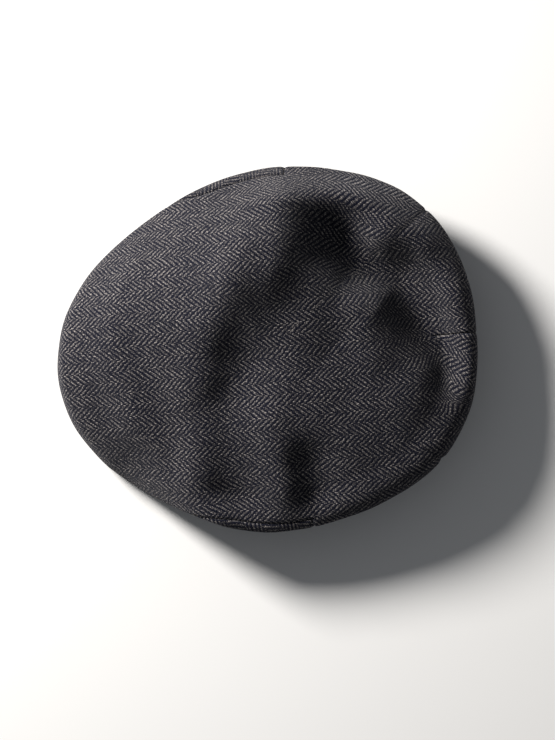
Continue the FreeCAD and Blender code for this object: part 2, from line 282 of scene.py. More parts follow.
def rim_radius(angle, inset, grow):
    """A lower edge: inset from the outline over the peak, let out from the head oval elsewhere."""
    return mix(outline_radius(angle) - inset, oval_radius(angle, grow), angle)


def band_height(angle):
    """Height of the headband's lower edge: on the floor behind, and raised over the peak."""
    x, y = plan_point(angle, oval_radius(angle, 0.0))
    x = np.clip(x, -HEAD_HALF_WIDTH, HEAD_HALF_WIDTH)
    raised = (FLAT_BAND_ANGLE - np.abs(np.degrees(angle))) / (FLAT_BAND_ANGLE - PEAK_TIP_ANGLE)
    return peak_height(x, y) * blend(raised)


def rim_height(angle):
    """Height of the shell's lower edge."""
    x, y = plan_point(angle, rim_radius(angle, 0.0, SHELL_RIM_GROW))
    share = peak_share(angle) ** 0.5
    return RIM_STAND + band_height(angle) * (1.0 - share) + peak_height(x, y) * share


def equator_height(angle):
    """Height of the shell's widest line."""
    return rim_height(angle) + EDGE_STAND + BAG_HEIGHT * (1.0 - peak_share(angle))


def fold_height(x, y):
    """Every fold added up; a fold's two sides can fall away at different rates."""
    total = np.zeros(np.broadcast(x, y).shape)
    for points, left, right, height in FOLDS:
        nearest = np.full(total.shape, np.inf)
        side = np.zeros(total.shape)
        if len(points) == 1:
            nearest = np.hypot(x - points[0][0], y - points[0][1])
        last = len(points) - 2
        for k, ((x0, y0), (x1, y1)) in enumerate(zip(points, points[1:])):
            run_x, run_y = x1 - x0, y1 - y0
            reach = ((x - x0) * run_x + (y - y0) * run_y) / (run_x**2 + run_y**2)
            along = np.clip(reach, 0.0, 1.0)
            off_x, off_y = x - x0 - along * run_x, y - y0 - along * run_y
            away = np.hypot(off_x, off_y)
            turn = (run_x * off_y - run_y * off_x) / np.maximum(away * math.hypot(run_x, run_y), 1e-6)
            beyond = ((reach < 0.0) & (k == 0)) | ((reach > 1.0) & (k == last))
            side = np.where(away < nearest, np.where(beyond, turn, np.sign(turn)), side)
            nearest = np.minimum(away, nearest)
        width = 0.5 * (left + right) + 0.5 * (left - right) * side
        total = total + height * np.exp(-((nearest / width) ** 2))
    return total


def rounded(depth, width):
    """A quarter-round edge: 0 at its start, 1 from width inwards."""
    share = np.clip(depth / width, 0.0, 1.0)
    return np.sqrt(1.0 - (1.0 - share) ** 2)


def crown_height(angle, radius):
    """Height of the crown's top: a rounded ramp with folds, lifted where it would pass through the
    headband."""
    depth = outline_radius(angle) - radius
    x, y = plan_point(angle, radius)
    low = equator_height(angle)
    behind = blend((np.abs(np.degrees(angle)) - BACK_ROUND_START) / BACK_ROUND_SPREAD)
    round_height, round_width = (
        mix(front, side + (back - side) * behind, angle)
        for front, side, back in zip(FRONT_ROUND, SIDE_ROUND, BACK_ROUND)
    )
    ramp = 1.0 - np.maximum(radius / outline_radius(angle), 0.0) ** RAMP_POWER
    folds = fold_height(x, y) * blend(depth / FOLD_MARGIN)
    edge = low + round_height * rounded(depth, round_width)
    free = edge + (CROWN_HEIGHT - low - round_height) * ramp + folds
    beside = np.exp(-(((radius - oval_radius(angle, 0.0)) / REST_WIDTH) ** 2))
    resting = band_height(angle) + SWEATBAND_HEIGHT + REST_CLEARANCE
    return free + beside * REST_SOFTNESS * np.log1p(np.exp((resting - free) / REST_SOFTNESS))


def bezier(p0, p1, p2, p3, t):
    """Both coordinates of a cubic curve at t, from its four control points."""
    s = 1.0 - t
    weights = (s**3, 3 * s * s * t, 3 * s * t * t, t**3)
    return tuple(sum(w * p[k] for w, p in zip(weights, (p0, p1, p2, p3))) for k in (0, 1))


def side_section(start, low, wide, high, flare, step):
    """The side of a skin in section: step 0 is its lower edge and step 1 its widest line."""
    return bezier(
        (start, low),
        (start + flare[0] * (wide - start), low + flare[1] * (high - low)),
        (wide, low + WIDEST_BEND * (high - low)),
        (wide, high),
        np.clip(step, 0.0, 1.0),
    )


def gathers(angle, count, drift, drift_count):
    """Small puckers round the head opening, from -1 to 1; their spacing drifts a little."""
    return np.sin(count * angle + drift * np.sin(drift_count * angle))


def over_top(step, wide):
    """Radius on the top: the widest at step 1, nothing at step 2."""
    return wide * np.cos((np.clip(step, 1.0, 2.0) - 1.0) * math.pi / 2)


def shell_surface(angle, step):
    """Steps -1 to 0 turn the cloth in under its lower edge, 0 to 1 climb to the widest line, and
    1 to 2 cross the top."""
    wide = outline_radius(angle)
    low = rim_height(angle)
    high = equator_height(angle)
    start = rim_radius(angle, SHELL_RIM_INSET, SHELL_RIM_GROW)
    hem = mix(start - HEM_WIDTH, oval_radius(angle, HEM_GROW), angle)
    hem_radius, hem_height = bezier(
        (hem, low + mix(HEM_FRONT_LIFT, HEM_SIDE_LIFT, angle)),
        (hem, low - HEM_FOLD_DROP),
        (start - mix(HEM_FRONT_FOLD, HEM_SIDE_FOLD, angle), low - HEM_FOLD_LEVEL),
        (start, low),
        np.clip(step, -1.0, 0.0) + 1.0,
    )
    radius, height = side_section(start, low, wide, high, SHELL_FLARE, step)
    top_radius = over_top(step, wide)
    radius = np.where(step < 0.0, hem_radius, np.where(step <= 1.0, radius, top_radius))
    height = np.where(step < 0.0, hem_height, np.where(step <= 1.0, height, crown_height(angle, top_radius)))
    x, y = plan_point(angle, radius)
    return np.stack([x, y, height], -1)


def under_crown(angle, radius, depth):
    """Height of a layer that lies depth beneath the crown, measured square to the cloth."""
    step = SLOPE_STEP
    turn = step / np.maximum(radius, SLOPE_LEAST_RADIUS)
    along = (crown_height(angle, radius + step) - crown_height(angle, radius - step)) / (2 * step)
    across = (crown_height(angle + turn, radius) - crown_height(angle - turn, radius)) / (2 * step)
    slope = np.minimum(np.hypot(along, across), STEEPEST)
    return crown_height(angle, radius) - depth * np.sqrt(1.0 + slope**2)


def lining_surface(angle, step):
    """Like the shell, but at the front it turns down to the headband."""
    wide = mix(oval_radius(angle, LINING_FRONT_BULGE), outline_radius(angle) - LINING_INSET, angle)
    low = band_height(angle) + LINING_RIM_LIFT
    free = mix(LINING_FRONT_HEIGHT, equator_height(angle), angle)
    high = np.minimum(free, under_crown(angle, wide, LINING_DEPTH))
    start = oval_radius(angle, LINING_RIM_GROW)
    radius, height = side_section(start, low, wide, high, LINING_FLARE, step)
    top_radius = over_top(step, wide)
    top = under_crown(angle, top_radius, LINING_DEPTH)
    top_height = np.minimum(high + (top - high) * rounded(wide - top_radius, LINING_ROUND_WIDTH), top)
    fade = np.exp(-((step / LINING_GATHER_REACH) ** 2)) * blend(step / LINING_GATHER_START)
    pucker = LINING_PUCKER * gathers(angle, *LINING_GATHERS) * fade
    radius = np.where(step <= 1.0, radius + pucker, top_radius)
    height = np.where(step <= 1.0, height, top_height)
    x, y = plan_point(angle, radius)
    return np.stack([x, y, height], -1)


def interlining_surface(angle, share):
    """The canvas under the crown, from near the plan centre (share 0) to near the front edge (share 1)."""
    outer = outline_radius(angle) - INTERLINING_INSET
    radius = INTERLINING_BACK_RADIUS + (outer - INTERLINING_BACK_RADIUS) * share
    x, y = plan_point(angle, radius)
    return np.stack([x, y, under_crown(angle, radius, INTERLINING_DEPTH)], -1)


def peak_surface(angle, share, lift):
    """One layer of the peak, from the headband (share 0) to the peak's edge (share 1)."""
    inner = oval_radius(angle, LINING_RIM_GROW + LAYER_GAP)
    outer = rim_radius(angle, SHELL_RIM_INSET + PEAK_EDGE_GAP, SHELL_RIM_GROW - PEAK_EDGE_GAP)
    x, y = plan_point(angle, inner + (outer - inner) * share)
    return np.stack([x, y, peak_height(x, y) + RIM_STAND + lift], -1)


def band_surface(angle, lift, grow):
    """A point beside the headband: lift above its lower edge, grow outside its inner face."""
    lean = SWEATBAND_LEAN * lift / SWEATBAND_HEIGHT
    x, y = plan_point(angle, oval_radius(angle, grow - lean))
    return np.stack([x, y, band_height(angle) + lift], -1)


def binding_surface(angle, turn):
    """The binding is folded over the sweatband's upper edge: down inside, over, and down outside."""
    half = SWEATBAND_THICKNESS / 2 + BINDING_GAP + BINDING_THICKNESS
    bend = np.clip(turn - 1.0, 0.0, 1.0) * math.pi
    below = BINDING_DEPTH * (np.maximum(1.0 - turn, 0.0) + np.maximum(turn - 2.0, 0.0))
    lift = SWEATBAND_HEIGHT + half * np.sin(bend) - below
    return band_surface(angle, lift, SWEATBAND_THICKNESS / 2 - half * np.cos(bend))


# ---------------------------------------------------------------- grids and meshes

def eased(low, high, count, ease=0.5):
    """count steps from low to high, closer together near both ends."""
    t = np.linspace(0.0, 1.0, count + 1)
    return low + (high - low) * ((1.0 - ease) * t + ease * (0.5 - 0.5 * np.cos(math.pi * t)))


def joined(*runs):
    """Runs of values end to end, each starting on the value where the one before it stopped."""
    return np.concatenate([runs[0]] + [run[1:] for run in runs[1:]])


HALF_COLUMNS = joined(
    eased(0.0, STRIP_TIP, 34, 0.3),
    eased(STRIP_TIP, STRIP_BACK, 52),
    eased(STRIP_BACK, DART_ANGLE, 30),
    eased(DART_ANGLE, math.pi, 28),
)
COLUMNS = np.concatenate([-HALF_COLUMNS[:0:-1], HALF_COLUMNS])
HEM_ROWS = 6
LOWER_ROWS = 26
UPPER_ROWS = 128
SEAM_ROW = HEM_ROWS + LOWER_ROWS


def climbing_rows():
    """Steps from 0 to 2 for every column, with one row on the side strips' seam."""
    share = np.sqrt(blend((np.abs(COLUMNS) - SEAM_START) / (SEAM_FULL - SEAM_START)))
    seam = (SEAM_LOW_STEP + (SEAM_HIGH_STEP - SEAM_LOW_STEP) * share)[:, None]
    return np.concatenate([
        seam * eased(0.0, 1.0, LOWER_ROWS)[None, :],
        seam + (2.0 - seam) * eased(0.0, 1.0, UPPER_ROWS, 0.35)[None, 1:],
    ], axis=1)


HEM = np.tile(np.linspace(-1.0, 0.0, HEM_ROWS + 1)[:-1], (len(COLUMNS), 1))
ROWS = np.concatenate([HEM, climbing_rows()], axis=1)
ANGLES = np.tile(COLUMNS[:, None], (1, ROWS.shape[1]))


def grid_normals(points, closed):
    """Unit normals of a grid of points, facing out for a skin drawn from the rim to the top."""
    across = np.gradient(points, axis=0)
    along = np.gradient(points, axis=1)
    if closed:
        ends = points[1] - points[-2]
        across[0] = across[-1] = ends / 2
    normal = np.cross(across, along)
    length = np.linalg.norm(normal, axis=-1, keepdims=True)
    return normal / np.maximum(length, 1e-9)


def run_lengths(points, axis):
    """Distance travelled along each grid line."""
    steps = np.linalg.norm(np.diff(points, axis=axis), axis=-1)
    zero = np.zeros_like(np.take(steps, [0], axis=axis))
    return np.concatenate([zero, np.cumsum(steps, axis=axis)], axis=axis)


def mesh_object(name, points, quads, corner_uv, weld=None):
    """An object from grid points (mm), quads of point numbers, and each corner's cloth coordinate (mm)."""
    flat = points.reshape(-1, 3) * UNIT
    if weld is not None:
        quads = weld[quads]
    used, packed = np.unique(quads, return_inverse=True)
    packed = packed.reshape(quads.shape)
    faces = []
    uvs = []
    for corners, uv in zip(packed.tolist(), corner_uv.tolist()):
        kept = [k for k in range(4) if corners[k] != corners[k - 1]]
        if len(kept) >= 3:
            faces.append([corners[k] for k in kept])
            uvs.extend(uv[k] for k in kept)
    mesh = bpy.data.meshes.new(name)
    mesh.from_pydata(flat[used].tolist(), [], faces)
    layer = mesh.uv_layers.new(name="cloth")
    layer.data.foreach_set("uv", np.array(uvs, dtype=np.float32).ravel())
    mesh.shade_smooth()
    obj = bpy.data.objects.new(name, mesh)
    bpy.context.scene.collection.objects.link(obj)
    return obj


def grid_quads(columns, rows, chosen):
    """Corner numbers of a grid's chosen quads, counted so that they face out."""
    number = np.arange(columns * rows).reshape(columns, rows)
    quads = np.stack([number[:-1, :-1], number[1:, :-1], number[1:, 1:], number[:-1, 1:]], -1)
    return quads[chosen]


def corners_of(values, chosen):
    """A grid's values at the four corners of each chosen quad, in grid_quads' order."""
    stacked = np.stack([values[:-1, :-1], values[1:, :-1], values[1:, 1:], values[:-1, 1:]], 2)
    return stacked[chosen]


def thicken(obj, thickness):
    """Give a surface its cloth thickness, inwards."""
    solid = obj.modifiers.new("thickness", "SOLIDIFY")
    solid.thickness = thickness * UNIT
    solid.offset = -1.0
    return obj


def place(obj, slot, node):
    """Hangs a piece on the root body and hides the CAD part that it stands for; slot is not used."""
    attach(obj, "root")
    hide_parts(node)
    return obj


def patch(name, points, uv, slot, node, thickness, weld=None):
    """A plain sheet from a grid of points."""
    columns, rows = points.shape[:2]
    chosen = np.ones((columns - 1, rows - 1), bool)
    obj = mesh_object(name, points, grid_quads(columns, rows, chosen), corners_of(uv, chosen), weld)
    return place(thicken(obj, thickness), slot, node)


# ---------------------------------------------------------------- the shell's own detail

def ripple(x, y):
    """Slight unevenness of the cloth, a few tenths of a millimetre: long waves with shorter ones across."""
    long_waves = np.sin(x / 11.0 + 0.8 * np.sin(y / 17.0)) * np.cos(y / 13.0 - 0.5)
    short_waves = np.sin((x + 0.6 * y) / 7.3 + 1.3) * np.sin((y - 0.4 * x) / 9.1)
    return LONG_RIPPLE * long_waves + SHORT_RIPPLE * short_waves


def seam_groove(points):
    """How far each point of the shell is pulled in by the seams."""
    angle = np.abs(ANGLES)
    radius = np.hypot(points[..., 0], points[..., 1] - PLAN_CENTRE_Y)
    climbed = run_lengths(points, 1)
    to_seam = np.abs(climbed - climbed[:, SEAM_ROW:SEAM_ROW + 1])
    before_back = blend((STRIP_BACK - angle) / SEAM_BACK_FADE + 0.5)
    in_strip = before_back * blend((angle - STRIP_TIP) / SEAM_TIP_FADE)
    upper = SEAM_DEPTH * np.exp(-((to_seam / SEAM_HALF_WIDTH) ** 2)) * in_strip
    below = np.arange(points.shape[1])[None, :] <= SEAM_ROW + 2
    from_back = np.abs(angle - STRIP_BACK) * radius
    back = SEAM_DEPTH * np.exp(-((from_back / SEAM_HALF_WIDTH) ** 2)) * below
    return np.maximum(upper, back)


def dart_groove(points):
    """How far each point of the shell is pulled in by the back darts."""
    radius = np.hypot(points[..., 0], points[..., 1] - PLAN_CENTRE_Y)
    total = np.zeros(radius.shape)
    for angle, inner, depth, width in DARTS:
        turn = np.abs((ANGLES - angle + math.pi) % (2 * math.pi) - math.pi)
        reach = np.where(ROWS <= 1.0, 1.0, blend((radius - inner) / DART_FADE))
        total = np.maximum(total, depth * np.exp(-((turn * radius / width) ** 2)) * reach)
    return total


def shell_points():
    """The shell's grid, with its seams, darts and slight unevenness."""
    points = shell_surface(ANGLES, ROWS)
    points[:, -1] = points[:, -1].mean(axis=0)
    normal = grid_normals(points, True)
    normal[:, -1] = (0.0, 0.0, 1.0)
    uneven = ripple(points[..., 0], points[..., 1]) * (ROWS > 0.0)
    move = uneven - seam_groove(points) - dart_groove(points)
    return points + normal * move[..., None]


def cloth_corners(points, chosen):
    """Where each quad's corners lay on the flat cloth, in millimetres from the crown's centre. Towards the
    back the cloth parts into gores, so that the pattern jumps at the darts."""
    climbed = run_lengths(points[:, ::-1], 1)[:, ::-1]
    radius = np.hypot(points[..., 0], points[..., 1] - PLAN_CENTRE_Y)
    narrow = np.clip(radius / np.maximum(climbed, 1e-6), 0.2, 1.0)
    angle = corners_of(ANGLES, chosen)
    reach = corners_of(climbed, chosen)
    tight = corners_of(narrow, chosen)
    middle = angle.mean(axis=1, keepdims=True)
    side = np.sign(middle)
    size = np.abs(angle)
    gore = (math.pi + DART_ANGLE) / 2
    behind = gore + (size - gore) * tight
    beside = STRIP_BACK + (size - STRIP_BACK) * tight
    flat = np.where(size <= STRIP_BACK, size, beside)
    flat = np.where(np.abs(middle) > DART_ANGLE, behind, flat)
    x = reach * np.sin(flat) * side
    y = PLAN_CENTRE_Y - reach * np.cos(flat)
    place_x, place_y = (corners_of(points[..., k], chosen) for k in (0, 1))
    behind_y = blend((place_y - TWIST_START_Y) / TWIST_SPREAD_Y)
    inside_x = blend((TWIST_END_X - place_x) / TWIST_SPREAD_X)
    twist = TWIST_DEGREES * behind_y * inside_x * (middle > DART_ANGLE)
    return turned(np.stack([x, y], -1), twist, TWIST_CENTRE)


def turned(uv, degrees, pivot=(0.0, 0.0)):
    """Cloth coordinates turned about a pivot."""
    c, s = np.cos(np.radians(degrees)), np.sin(np.radians(degrees))
    x, y = uv[..., 0] - pivot[0], uv[..., 1] - pivot[1]
    return np.stack([c * x - s * y + pivot[0], s * x + c * y + pivot[1]], -1)


def strip_quads(side, rows, seam_row):
    """Which quads of a grid with that many rows belong to the side strip on that side."""
    middle = (COLUMNS[:-1] + COLUMNS[1:]) / 2 * side
    inside = (middle > STRIP_TIP) & (middle < STRIP_BACK)
    below = np.arange(rows - 1) < seam_row
    return inside[:, None] & below[None, :]


def top_weld(points, open_rows):
    """Joins the first and last columns above the open part of the back seam, and the whole last row."""
    columns, rows = points.shape[:2]
    number = np.arange(columns * rows).reshape(columns, rows)
    number[-1, open_rows:] = number[0, open_rows:]
    number[:, -1] = number[0, -1]
    return number.ravel()


def make_shell():
    points = shell_points()
    left, right = (strip_quads(side, ROWS.shape[1], SEAM_ROW) for side in (1, -1))
    radius = np.hypot(points[0, :, 0], points[0, :, 1] - PLAN_CENTRE_Y)
    closed = int(np.argmax((radius < BACK_SEAM_RADIUS) & (ROWS[0] > 1.0)))
    weld = top_weld(points, closed)
    pieces = []
    for name, chosen, bias, node in [
        ("crown_wool", ~(left | right), 0.0, "crown_top"),
        ("side_strip_left", left, 45.0, "side_panel_left"),
        ("side_strip_right", right, -45.0, "side_panel_right"),
    ]:
        uv = turned(cloth_corners(points, chosen), bias)
        obj = mesh_object(name, points, grid_quads(*points.shape[:2], chosen), uv, weld)
        pieces.append(place(thicken(obj, SHELL_THICKNESS), "tweed", node))
    return pieces


def flat_uv(points):
    """Cloth coordinates of a strip or patch from the distances run along its grid lines."""
    return np.stack([run_lengths(points, 0), run_lengths(points, 1)], -1)


def make_lining():
    rows = climbing_rows()
    angles = np.tile(COLUMNS[:, None], (1, rows.shape[1]))
    points = lining_surface(angles, rows)
    points[:, -1] = points[:, -1].mean(axis=0)
    uv = np.stack([points[..., 0], points[..., 1] - LINING_CLOTH_FALL * points[..., 2]], -1)
    left, right = (strip_quads(side, rows.shape[1], LOWER_ROWS) for side in (1, -1))
    pieces = []
    for name, chosen, node in [
        ("satin_crown", ~(left | right), "lining_crown"),
        ("satin_side_left", left, "lining_side_left"),
        ("satin_side_right", right, "lining_side_right"),
    ]:
        quads = grid_quads(*points.shape[:2], chosen)
        obj = mesh_object(name, points, quads, corners_of(uv, chosen), top_weld(points, 0))
        pieces.append(place(thicken(obj, LINING_THICKNESS), "lining", node))
    return pieces


def make_interlining():
    angle = np.radians(np.linspace(-PEAK_TIP_ANGLE, PEAK_TIP_ANGLE, 80))[:, None]
    points = interlining_surface(angle, np.linspace(1.0, 0.0, 70)[None, :])
    uv = points[..., :2]
    return patch("canvas_crown", points, uv, "canvas", "crown_interlining", INTERLINING_THICKNESS)


def make_peak():
    angle = np.radians(np.linspace(-PEAK_TIP_ANGLE, PEAK_TIP_ANGLE, 90))[:, None]
    share = eased(0.0, 1.0, 24)[None, :]
    pieces = []
    lift = 0.0
    for name, slot, node, thickness in [
        ("peak_under_wool", "tweed", "peak_under_cover", COVER_THICKNESS),
        ("peak_board_sheet", "board", "peak_board", BOARD_THICKNESS),
        ("peak_upper_wool", "tweed", "peak_upper_cover", COVER_THICKNESS),
    ]:
        points = peak_surface(angle, share, lift)
        pieces.append(patch(name, points, points[..., :2], slot, node, thickness))
        lift += thickness + 2 * LAYER_GAP
    return pieces


def ring(surface, lines):
    """A grid that runs all the way round the head opening, its last column on its first."""
    angle = np.linspace(-math.pi, math.pi, 361)[:, None]
    return surface(angle, np.array(lines)[None, :])


def closed_strip(name, points, slot, node, thickness):
    """A sheet that runs all the way round, its two ends joined."""
    columns, rows = points.shape[:2]
    number = np.arange(columns * rows).reshape(columns, rows)
    number[-1] = number[0]
    return patch(name, points, flat_uv(points), slot, node, thickness, number.ravel())


def make_headband():
    def sweatband(angle, lift):
        fade = np.exp(-(((lift - STITCH_HEIGHT) / SWEATBAND_GATHER_HEIGHT) ** 2))
        pucker = SWEATBAND_PUCKER * gathers(angle, *SWEATBAND_GATHERS) * fade
        return band_surface(angle, lift, SWEATBAND_THICKNESS + pucker)

    def tape(angle, lift):
        return band_surface(angle, lift, SWEATBAND_THICKNESS + LAYER_GAP + TAPE_THICKNESS)

    down_over_up = joined(np.linspace(3.0, 2.0, 4), np.linspace(2.0, 1.0, 9), np.linspace(1.0, 0.0, 4))
    pieces = []
    for name, surface, lines, slot, node, thickness in [
        ("cotton_band", sweatband, np.linspace(0.3, SWEATBAND_HEIGHT, 26), "sweatband", "sweatband",
         SWEATBAND_THICKNESS),
        ("stay_tape", tape, np.linspace(1.0, TAPE_HEIGHT, 8), "tape", "headband_tape", TAPE_THICKNESS),
        ("band_binding", binding_surface, down_over_up, "tape", "sweatband_binding", BINDING_THICKNESS),
    ]:
        pieces.append(closed_strip(name, ring(surface, lines), slot, node, thickness))
    return pieces


def under_top(x, y, depth):
    """Points that lie depth beneath the crown at plan places x, y."""
    angle = np.arctan2(x, PLAN_CENTRE_Y - y)
    radius = np.hypot(x, y - PLAN_CENTRE_Y)
    return np.stack(np.broadcast_arrays(x, y, under_crown(angle, radius, depth)), -1)


def make_labels():
    x = np.linspace(-MAKER_LABEL_HALF_LENGTH, MAKER_LABEL_HALF_LENGTH, 50)[:, None]
    y = MAKER_LABEL_Y + np.linspace(-MAKER_LABEL_HALF_WIDTH, MAKER_LABEL_HALF_WIDTH, 30)[None, :]
    points = under_top(x, y, LABEL_DEPTH)
    along, across = x / MAKER_LABEL_HALF_LENGTH, (y - MAKER_LABEL_Y) / MAKER_LABEL_HALF_WIDTH
    uv = np.stack(np.broadcast_arrays(along, across), -1)
    pieces = [patch("woven_label", points, uv, "label", "maker_label", MAKER_LABEL_THICKNESS)]
    stand = BINDING_GAP + BINDING_THICKNESS + LAYER_GAP
    outside = SWEATBAND_THICKNESS + stand + RIBBON_THICKNESS
    for name, node, middle, half, low, high, grow in [
        ("care_ribbon", "care_label", CARE_LABEL_ANGLE, CARE_LABEL_HALF_ANGLE,
         CARE_LABEL_LOW, CARE_LABEL_HIGH, outside),
        ("size_ribbon", "size_label", SIZE_LABEL_ANGLE, SIZE_LABEL_HALF_ANGLE,
         SIZE_LABEL_LOW, SIZE_LABEL_HIGH, -stand),
    ]:
        angle = np.radians(np.linspace(middle - half, middle + half, 24))[:, None]
        points = band_surface(angle, np.linspace(low, high, 16)[None, :], grow)
        pieces.append(patch(name, points, flat_uv(points), "ribbon", node, RIBBON_THICKNESS))
    return pieces


STITCH_SIDES = 8
STITCH_RINGS = [
    # share of the way along, share of the full radius
    (0.0, 0.35),
    (0.06, 0.85),
    (0.3, 1.0),
    (0.7, 1.0),
    (0.94, 0.85),
    (1.0, 0.35),
]


def make_stitches(name, ends, node):
    """Short threads with rounded ends, one for each pair of end points."""
    around = np.linspace(0.0, 2 * math.pi, STITCH_SIDES + 1)[:-1]
    vertices = []
    faces = []
    for start, end in ends:
        run = end - start
        ahead = run / np.linalg.norm(run)
        side = np.cross(ahead, (0.0, 0.0, 1.0))
        side = side / np.linalg.norm(side)
        up = np.cross(side, ahead)
        first = len(vertices)
        for along, size in STITCH_RINGS:
            for turn in around:
                out = side * math.cos(turn) + up * math.sin(turn)
                vertices.append((start + run * along + out * STITCH_RADIUS * size) * UNIT)
        last = len(vertices) - STITCH_SIDES
        faces.append([first + k for k in range(STITCH_SIDES)])
        faces.append([last + k for k in reversed(range(STITCH_SIDES))])
        for here in range(first, last, STITCH_SIDES):
            ahead_ring = here + STITCH_SIDES
            for k in range(STITCH_SIDES):
                beside = (k + 1) % STITCH_SIDES
                faces.append([here + beside, here + k, ahead_ring + k, ahead_ring + beside])
    mesh = bpy.data.meshes.new(name)
    mesh.from_pydata([tuple(v) for v in vertices], [], faces)
    mesh.shade_smooth()
    obj = bpy.data.objects.new(name, mesh)
    bpy.context.scene.collection.objects.link(obj)
    return place(obj, "thread", node)


def sweatband_stitch_ends():
    """Both ends of every stitch in the row round the sweatband."""
    for k in range(SWEATBAND_STITCH_COUNT):
        angle = 2 * math.pi * k / SWEATBAND_STITCH_COUNT - math.pi
        turn = STITCH_LENGTH / 2 / float(oval_radius(angle, 0.0))
        yield tuple(
            band_surface(np.array(angle + side * turn), STITCH_HEIGHT, -STITCH_RADIUS - STITCH_SINK)
            for side in (-1, 1)
        )


def label_stitch_ends():
    """Both ends of every stitch along the maker's label's two long edges."""
    depth = LABEL_DEPTH + MAKER_LABEL_THICKNESS + STITCH_RADIUS
    reach = MAKER_LABEL_HALF_LENGTH - LABEL_STITCH_INSET
    count = int(2 * reach / LABEL_STITCH_SPACING)
    for side in (-1, 1):
        y = MAKER_LABEL_Y + side * (MAKER_LABEL_HALF_WIDTH - LABEL_STITCH_INSET)
        for x in np.linspace(-reach, reach - STITCH_LENGTH, count):
            yield tuple(under_top(np.array(along), np.array(y), depth) for along in (x, x + STITCH_LENGTH))


crown, strip_left, strip_right = make_shell()
satin_crown, satin_left, satin_right = make_lining()
canvas_crown = make_interlining()
peak_under, peak_stiffener, peak_upper = make_peak()
cotton_band, stay_tape, band_binding = make_headband()
woven_label, care_ribbon, size_ribbon = make_labels()
band_threads = make_stitches("band_threads", sweatband_stitch_ends(), "sweatband_stitches")
label_threads = make_stitches("label_threads", label_stitch_ends(), "maker_label_stitches")


# ---------------------------------------------------------------- materials

class Field:
    """A value in a material's node tree that arithmetic can be written with."""

    def __init__(self, tree, socket):
        self.tree = tree
        self.socket = socket

    def op(self, operation, *others):
        node = self.tree.nodes.new("ShaderNodeMath")
        node.operation = operation
        for slot, value in zip(node.inputs, (self, *others)):
            if isinstance(value, Field):
                self.tree.links.new(value.socket, slot)
            else:
                slot.default_value = value
        return Field(self.tree, node.outputs[0])

    def __add__(self, other):
        return self.op("ADD", other)

    def __sub__(self, other):
        return self.op("SUBTRACT", other)

    def __mul__(self, other):
        return self.op("MULTIPLY", other)

    def __truediv__(self, other):
        return self.op("DIVIDE", other)


def new_material(name, roughness, sheen=0.0, sheen_roughness=0.5, sheen_tint=(1, 1, 1, 1), specular=0.5):
    material = bpy.data.materials.new(name)
    material.use_nodes = True
    tree = material.node_tree
    shader = tree.nodes["Principled BSDF"]
    shader.inputs["Roughness"].default_value = roughness
    shader.inputs["Sheen Weight"].default_value = sheen
    shader.inputs["Sheen Roughness"].default_value = sheen_roughness
    shader.inputs["Sheen Tint"].default_value = sheen_tint
    shader.inputs["Specular IOR Level"].default_value = specular
    return material, tree, shader


def cloth_fields(tree):
    """The cloth coordinate as a vector, and its two parts as numbers."""
    uv = tree.nodes.new("ShaderNodeUVMap")
    uv.uv_map = "cloth"
    split = tree.nodes.new("ShaderNodeSeparateXYZ")
    tree.links.new(uv.outputs[0], split.inputs[0])
    return uv.outputs[0], Field(tree, split.outputs[0]), Field(tree, split.outputs[1])


def noise(tree, vector, scale, detail=2.0, dimensions="2D"):
    node = tree.nodes.new("ShaderNodeTexNoise")
    node.noise_dimensions = dimensions
    node.inputs["Scale"].default_value = scale
    node.inputs["Detail"].default_value = detail
    tree.links.new(vector, node.inputs["Vector"])
    return Field(tree, node.outputs["Fac"])


def shifted(tree, vector):
    """The same cloth seen further along, so that a second noise differs from the first."""
    node = tree.nodes.new("ShaderNodeVectorMath")
    node.operation = "ADD"
    node.inputs[1].default_value = (217.0, 131.0, 0.0)
    tree.links.new(vector, node.inputs[0])
    return node.outputs[0]


def combined(tree, *parts):
    node = tree.nodes.new("ShaderNodeCombineXYZ")
    for slot, part in zip(node.inputs, parts):
        tree.links.new(part.socket, slot)
    return node.outputs[0]


def colour_mix(tree, share, first, second):
    node = tree.nodes.new("ShaderNodeMix")
    node.data_type = "RGBA"
    tree.links.new(share.socket, node.inputs["Factor"])
    for slot, value in ((node.inputs[6], first), (node.inputs[7], second)):
        if isinstance(value, tuple):
            slot.default_value = value
        else:
            tree.links.new(value, slot)
    return node.outputs[2]


def add_bump(tree, shader, height, distance):
    node = tree.nodes.new("ShaderNodeBump")
    node.inputs["Strength"].default_value = 1.0
    node.inputs["Distance"].default_value = distance
    tree.links.new(height.socket, node.inputs["Height"])
    tree.links.new(node.outputs[0], shader.inputs["Normal"])


LIGHT_YARN = (0.300, 0.276, 0.262, 1.0)
DARK_YARN = (0.0030, 0.0040, 0.0120, 1.0)
WOOL_SHEEN_TINT = (0.8, 0.82, 0.9, 1)
BOARD_DARK = (0.10, 0.075, 0.05, 1)
BOARD_LIGHT = (0.26, 0.21, 0.15, 1)
LABEL_DARK = (0.012, 0.012, 0.015, 1)
LABEL_LIGHT = (0.04, 0.04, 0.045, 1)
LABEL_BORDER = (0.42, 0.40, 0.34, 1)
LABEL_BORDER_INSET = 3.2
LABEL_RIB_SPACING = 0.45
LABEL_THREAD_SPACING = 0.3
THREAD_DARK = (0.012, 0.012, 0.014, 1)
THREAD_LIGHT = (0.06, 0.06, 0.065, 1)
FLOAT_ROUNDNESS = 0.35


